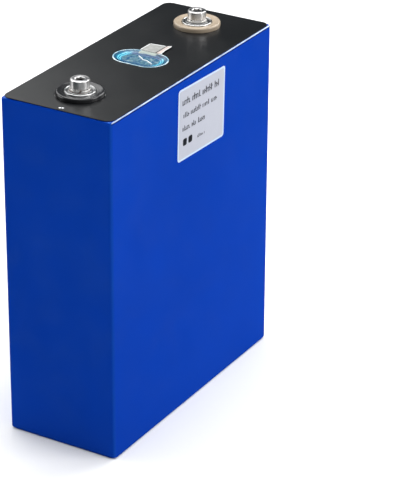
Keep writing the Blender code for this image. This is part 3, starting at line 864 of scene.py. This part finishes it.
def tab_look():
    """Grey printed tab film with an unprinted white border, and painted shade along a crease on one
    side.
    """
    look = Look("tab_look", (0.30, 0.31, 0.30), 0.38, Specular_IOR_Level=0.35)
    half_width = (tab_high.y - tab_low.y) / 2
    from_side = look.math("SUBTRACT", half_width, look.off_middle("Y"))
    skew = TAB_SKEW * (tab_high.x - tab_low.x) / (2 * half_width)
    cut_back = look.times(look.math("ADD", look.axis("Y"), half_width), skew)
    end = look.math("SUBTRACT", tab_high.x, cut_back)
    inside = look.math("MINIMUM", from_side, look.math("SUBTRACT", end, look.axis("X")))
    printed = look.rises(inside, 0.55 * MM, 0.70 * MM)
    mottle = look.rises(look.noise(420.0, 5.0, 0.65))
    grey = look.mix(mottle, (0.24, 0.245, 0.232), (0.33, 0.33, 0.322))
    past = look.math("SUBTRACT", look.times(look.axis("Y"), -1.0), TAB_CREASE)
    grey = look.mix(look.rises(past, 0.1 * MM, 0.6 * MM), grey, (0.50, 0.43, 0.40))
    bordered = look.mix(printed, (0.62, 0.64, 0.64), grey)
    # painted shade along the crease, where the lifted edge shades the tab
    painted_crease_shade = look.falls(look.math("ABSOLUTE", past), 0.26 * MM, 0.50 * MM)
    look.colour(look.mix(painted_crease_shade, bordered, (0.030, 0.027, 0.026)))
    look.rough(look.span(look.noise(300.0), 0.34, 0.46))
    look.bump(look.noise(2600.0, 3.0), 0.000006)
    return look.material


# -------- terminals
POCKET = 9.0 * MM  # the insulator ring's inner radius
RING_TOP = (9.6, 0.57), (10.6, 0.48), (11.6, 0.34), (12.2, 0.19), (12.5, 0.06)  # radius, drop in mm
BLOCK_BORE = 6.45 * MM  # radius of the terminal block's hole
SUNK = 0.30 * MM  # the block's face lies this far below its rim
THREAD_DEPTH = 0.34 * MM
PITCH = 1.0 * MM  # of the screws' threads


def make_insulator_ring(side):
    """The moulded cup around a terminal's block."""
    x = axis_x(side)
    node = side + "_insulator_ring"
    low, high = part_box(node)
    outer = radius_of(node)
    block_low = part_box(side + "_terminal_block")[0].z
    top, foot, floor = high.z, low.z, block_low - 0.3 * MM
    shoulder = 1.1 * MM
    profile = [
        (6.6 * MM, floor),
        (POCKET, floor),
        *arc(POCKET + 0.15 * MM, top - 0.75 * MM, 0.15 * MM, 180, 95, 3),
        *[(radius * MM, top - drop * MM) for radius, drop in RING_TOP],
        *arc(outer - shoulder, top - shoulder, shoulder, 96, 4, 10),
        (outer, top - shoulder - 0.3 * MM),
        (outer, SHEET_TOP + 0.25 * MM),
        (outer - 0.12 * MM, SHEET_TOP + 0.12 * MM),
        (outer - 0.12 * MM, foot),
        (6.6 * MM, foot),
    ]
    mesh = turned(side + "_ring", profile, (x, 0.0), close=True, steps=FINE_STEPS)
    add_piece(side + "_ring", mesh, LOOKS[side + "_ring"], replaces=[node])


def make_terminal_block(side):
    """The contact disc with its turned face, and the weld that joins it to the pole."""
    x = axis_x(side)
    node = side + "_terminal_block"
    low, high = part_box(node)
    outer = radius_of(node)
    top = high.z
    face = top - SUNK
    profile = [
        (BLOCK_BORE, low.z),
        (BLOCK_BORE, face),
        (outer - 1.05 * MM, face),
        (outer - 0.93 * MM, face + 0.05 * MM),
        *arc(outer - 0.47 * MM, top - 0.42 * MM, 0.42 * MM, 165, 0, 12),
        (outer - 0.05 * MM, low.z + 0.1 * MM),
        (outer - 0.15 * MM, low.z),
    ]
    mesh = turned(side + "_block", profile, (x, 0.0), close=True, steps=FINE_STEPS)
    look = LOOKS["block"]
    add_piece(side + "_block", mesh, look, replaces=[node])

    ripples, steps = 60, 240
    bead_radius, bead_width, bead_height = 6.36 * MM, 0.46 * MM, 0.14 * MM
    bead = []
    for i in range(10):
        angle = math.radians(36 * i)
        row = []
        for j in range(steps):
            turn = 2 * math.pi * j / steps
            ripple = 1.0 + 0.10 * math.sin(turn * ripples) + 0.05 * math.sin(turn * 7)
            r = bead_radius + bead_width * math.cos(angle)
            z = top - 0.10 * MM + bead_height * ripple * math.sin(angle)
            row.append((x + r * math.cos(turn), r * math.sin(turn), z))
        bead.append(row)
    mesh = loft(side + "_weld_bead", bead, close=True, sharp=80.0)
    add_piece(side + "_weld_bead", mesh, look)


def make_terminal_pole(side):
    """The rivet, with its chamfered and threaded hole."""
    x = axis_x(side)
    node = side + "_terminal_pole"
    low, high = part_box(node)
    shank_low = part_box(side + "_screw")[0].z
    hole, root, outer = 3.1 * MM, 3.3 * MM, 6.3 * MM
    flange = radius_of(node)
    flange_top = low.z + 1.8 * MM
    top = high.z
    profile = [
        (outer - 0.25 * MM, top - 0.12 * MM),
        (outer, top - 0.35 * MM),
        (outer, flange_top),
        (flange, flange_top),
        (flange, low.z),
        (0.2 * MM, low.z),
    ]
    hole_floor = shank_low - 0.35 * MM
    bore = [(0.2 * MM, hole_floor), (hole, hole_floor)]
    z = hole_floor + 0.3 * MM
    while z < top - 0.9 * MM:
        bore += [(hole, z), (root, z + PITCH / 2)]
        z += PITCH
    bore += [(hole, top - 0.5 * MM), (3.55 * MM, top - 0.12 * MM)]
    mesh = turned(side + "_pole", profile + bore, (x, 0.0), close=True)
    metal = "aluminium" if side == "positive" else "copper"
    add_piece(side + "_pole", mesh, LOOKS[metal], replaces=[node])


def make_spring_washer(side, slit_angle):
    """A split ring wound a little out of flat, with slanted ends."""
    x = axis_x(side)
    node = side + "_spring_washer"
    low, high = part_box(node)
    outer, inner = radius_of(node) - 0.02 * MM, 3.25 * MM
    middle, thick = (low.z + high.z) / 2, high.z - low.z
    rise = 0.11 * MM  # each end stands this far above or below the middle
    half_gap = math.radians(4.5)
    slant = math.tan(math.radians(28)) / outer
    soft = 0.16 * MM
    section = [
        *arc(outer - soft, thick / 2 - soft, soft, 90, 0, 3),
        *arc(outer - soft, -thick / 2 + soft, soft, 0, -90, 3),
        *arc(inner + soft, -thick / 2 + soft, soft, 270, 180, 3),
        *arc(inner + soft, thick / 2 - soft, soft, 180, 90, 3),
    ]
    rows, steps = [], 90
    for i in range(steps + 1):
        share = i / steps
        angle = slit_angle + half_gap + (2 * math.pi - 2 * half_gap) * share
        lift = rise * (2 * share - 1)
        row = []
        for r, z in section:
            turn = angle + z * slant
            row.append((x + r * math.cos(turn), r * math.sin(turn), middle + z * 0.99 + lift))
        rows.append(row)
    mesh = loft(side + "_washer", rows, sharp=40.0)
    name, look = side + "_washer_split", LOOKS["washer"]
    add_piece(name, mesh, look, side + "_washer", [node])


def threaded_shank(name, x, low, high, radius):
    """A cylinder whose surface is a right-hand V thread that runs out under the head."""
    around, per_pitch = 48, 10
    steps = round((high - low) / PITCH * per_pitch)
    rows = []
    for i in range(steps + 1):
        z = low + (high - low) * i / steps
        runout = min(1.0, (high - z) / (1.2 * PITCH))
        tip = min(1.0, (z - low) / (0.8 * MM))
        row = []
        for j in range(around):
            turn = j / around
            phase = (z / PITCH - turn) % 1.0
            depth = THREAD_DEPTH * abs(2 * phase - 1) * runout
            r = radius - depth - 0.7 * MM * (1 - tip) ** 1.2
            angle = 2 * math.pi * turn
            row.append((x + r * math.cos(angle), r * math.sin(angle), z))
        rows.append(row)
    return loft(name, rows, sharp=50.0)


def make_screw(side, socket_angle):
    """A hexagon socket screw: rolled thread, cylindrical head, chamfered socket."""
    x = axis_x(side)
    low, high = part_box(side + "_screw")
    washer_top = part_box(side + "_spring_washer")[1].z
    seat, top = washer_top + 0.15 * MM, high.z
    head = radius_of(side + "_screw")
    profile = [
        (0.1 * MM, top),
        (4.35 * MM, top),
        (4.55 * MM, top - 0.03 * MM),
        *arc(head - 0.5 * MM, top - 0.55 * MM, 0.5 * MM, 62, 0, 6),
        (head, seat + 0.32 * MM),
        *arc(head - 0.22 * MM, seat + 0.22 * MM, 0.22 * MM, 0, -90, 3),
        (0.1 * MM, seat),
    ]
    head_mesh = turned(side + "_head", profile, (x, 0.0), steps=FINE_STEPS)

    across = 5.0 * MM
    corner = across / 2 / math.cos(math.radians(30))
    depth = 2.5 * MM
    angles = [socket_angle + math.radians(60 * i) for i in range(6)]
    hexagon = [(x + corner * math.cos(a), corner * math.sin(a)) for a in angles]
    levels = (top + 1 * MM, top - depth)
    key = loft(side + "_key", [[(px, py, z) for px, py in hexagon] for z in levels])
    hole = [
        (3.6 * MM, top + 0.55 * MM),
        (2.45 * MM, top - 0.6 * MM),
        (2.42 * MM, top - depth - 0.05 * MM),
        (0.05 * MM, top - depth - 1.0 * MM),
        (0.04 * MM, top + 0.55 * MM),
    ]
    drill = turned(side + "_drill", hole, (x, 0.0), steps=48)
    head_mesh = cut(side + "_head", head_mesh, key, drill)
    node, look, slot = side + "_screw", LOOKS["screw"], "nickel_plated_steel"
    add_piece(side + "_screw_head", head_mesh, look, node, [node])
    shank = threaded_shank(side + "_shank", x, low.z, seat + 0.1 * MM, 2.98 * MM)
    add_piece(side + "_screw_thread", shank, look, node)


# -------- looks
LOOKS = {
    "film": blue_film_look(),
    "sheet": black_sheet_look(),
    "label": label_look("label_look", (0.43, 0.44, 0.505), (0.475, 0.49, 0.55)),
    "label_edge": label_look("label_edge_look", (0.47, 0.60, 0.78), (0.53, 0.66, 0.84)),
    "word_ink": ink_look("word_ink_look", (0.012, 0.012, 0.020)),
    "mark_ink": ink_look("mark_ink_look", (0.008, 0.008, 0.012)),
    "white_ink": ink_look("white_ink_look", (0.80, 0.81, 0.82)),
    "vent": vent_film_look(),
    "rim": rim_look(),
    "tab": tab_look(),
    "positive_ring": moulded_look(
        "beige_ring_look", (0.33, 0.262, 0.19), (0.39, 0.318, 0.236), 0.33
    ),
    "negative_ring": moulded_look(
        "black_ring_look", (0.012, 0.012, 0.013), (0.021, 0.021, 0.023), 0.22
    ),
    "washer": metal_look("washer_look", (0.56, 0.55, 0.53), (0.70, 0.69, 0.67), 0.30, True),
    "screw": metal_look("screw_look", (0.62, 0.61, 0.60), (0.74, 0.73, 0.72), 0.34, True),
    "block": metal_look("block_look", (0.55, 0.55, 0.55), (0.70, 0.70, 0.70), 0.30, True),
    "aluminium": metal_look("aluminium_look", (0.68, 0.69, 0.70), (0.80, 0.81, 0.82), 0.30),
    "copper": metal_look("copper_look", (0.60, 0.30, 0.19), (0.78, 0.42, 0.29), 0.30),
    "white_plastic": moulded_look(
        "white_plastic_look", (0.70, 0.70, 0.67), (0.78, 0.78, 0.76), 0.5
    ),
    "rubber": moulded_look("rubber_look", (0.03, 0.03, 0.03), (0.05, 0.05, 0.05), 0.66),
    "black_plastic": moulded_look(
        "black_plastic_look", (0.02, 0.02, 0.02), (0.04, 0.04, 0.04), 0.45
    ),
    "foil": metal_look("foil_look", (0.09, 0.09, 0.10), (0.14, 0.14, 0.15), 0.55),
}
SLOT_LOOKS = {
    "blue_film": "film",
    "aluminium": "aluminium",
    "copper": "copper",
    "white_plastic": "white_plastic",
    "seal_rubber": "rubber",
    "black_plastic": "black_plastic",
    "cathode_foil": "foil",
}


def finish_cad_nodes():
    """Gives looks to the solids that stay: the underside's film and everything hidden."""
    slots = {entry["node"]: entry["material_slot"] for entry in frame["record"]["subparts"]}
    for node, piece in frame["nodes"].items():
        if not piece.hide_render:
            piece.material_slots[0].material = LOOKS[SLOT_LOOKS[slots[node]]]


# -------- stage
def add_area(name, size, place, target, power):
    """A square white softbox that the camera doesn't see."""
    light = bpy.data.lights.new(name, "AREA")
    light.energy = power
    light.size = size
    lamp = linked(name, light)
    lamp.location = place
    lamp.rotation_mode = "QUATERNION"
    lamp.rotation_quaternion = (Vector(target) - Vector(place)).to_track_quat("-Z", "Y")
    lamp.visible_camera = False


def make_floor():
    """A plain pale floor. It isn't mirrored in the cell, so the glossy film stays deep blue."""
    mesh = bpy.data.meshes.new("floor")
    shape = bmesh.new()
    bmesh.ops.create_grid(shape, x_segments=1, y_segments=1, size=6.0)
    shape.to_mesh(mesh)
    shape.free()
    floor = linked("floor", mesh)
    mesh.materials.append(Look("floor_look", (0.86, 0.86, 0.86), 0.8).material)
    floor.visible_glossy = False


def make_world():
    """A dim room, bright only on the side that the photographer stood on.

    Glossy rays don't see the floor, so the half below the horizon takes its place in them.
    """
    world = bpy.data.worlds.new("studio")
    bpy.context.scene.world = world
    world.use_nodes = True
    tree = world.node_tree
    tree.nodes.clear()
    place = tree.nodes.new("ShaderNodeTexCoord")

    def glow(direction, start, end, low, high, colour):
        towards = tree.nodes.new("ShaderNodeVectorMath")
        towards.operation = "DOT_PRODUCT"
        towards.inputs[1].default_value = Vector(direction).normalized()
        strength = map_range(tree, towards.outputs["Value"], start, end, low, high)
        background = tree.nodes.new("ShaderNodeBackground")
        background.inputs["Color"].default_value = (*colour, 1.0)
        tree.links.new(place.outputs["Generated"], towards.inputs[0])
        tree.links.new(strength, background.inputs["Strength"])
        return background.outputs["Background"]

    both = tree.nodes.new("ShaderNodeAddShader")
    front = glow((-0.50, -0.86, -0.05), 0.45, 0.98, 0.0, 0.60, (0.97, 0.98, 1.0))
    around = glow((0.0, 0.0, -1.0), -0.10, 0.25, 0.03, 0.06, (0.40, 0.78, 1.0))
    tree.links.new(front, both.inputs[0])
    tree.links.new(around, both.inputs[1])
    output = tree.nodes.new("ShaderNodeOutputWorld")
    tree.links.new(both.outputs["Shader"], output.inputs["Surface"])


def make_lights():
    middle = (0.0, 0.0, 0.10)
    add_area("overhead", 1.6, (0.10, 0.10, 1.6), middle, 32.0)
    add_area("front_key", 0.9, (0.40, -1.5, 0.9), middle, 16.5)
    add_area("back_panel", 0.80, (0.32, 0.62, 0.88), (-0.05, 0.0, 0.207), 4.4)
    add_area("left_panel", 0.8, (-0.55, 1.25, 0.40), middle, 6.8)
    add_area("edge_panel", 0.52, (0.72, -0.30, 0.66), (0.0, -0.03, 0.20), 4.6)


CAMERA_PLACE = (-1.0938, -0.6846, 0.7170)
CAMERA_AZIMUTH = math.radians(-59.64)
CAMERA_ELEVATION = math.radians(26.02)
CAMERA_ROLL = math.radians(0.41)
CAMERA_LENS = 177.03  # millimetres, on a sensor 36 mm along the picture's long side


def make_camera():
    """The photograph's viewpoint, fitted to the cell's long edges."""
    camera = bpy.data.cameras.new("camera")
    camera.lens = CAMERA_LENS
    camera.sensor_width = 36.0
    camera.clip_start = 0.05
    camera.clip_end = 50.0
    view = linked("camera", camera)
    level = math.cos(CAMERA_ELEVATION)
    across, along = math.sin(CAMERA_AZIMUTH) * level, -math.cos(CAMERA_AZIMUTH) * level
    back = Vector((across, along, math.sin(CAMERA_ELEVATION)))
    aim = (-back).to_track_quat("-Z", "Y").to_matrix().to_4x4()
    roll = Matrix.Rotation(CAMERA_ROLL, 4, "Z")
    view.matrix_world = Matrix.Translation(CAMERA_PLACE) @ aim @ roll
    bpy.context.scene.camera = view


bpy.context.scene.view_settings.view_transform = "Standard"
make_camera()
make_floor()
make_world()
make_lights()
make_wrap_film()
make_cover_sheet()
make_label()
make_vent_film()
make_pull_tab()
# each side's washer slit and screw socket point these ways, in degrees
for side, slit, socket in (("positive", 305, 8), ("negative", 214, 22)):
    make_insulator_ring(side)
    make_terminal_block(side)
    make_terminal_pole(side)
    make_spring_washer(side, math.radians(slit))
    make_screw(side, math.radians(socket))
finish_cad_nodes()
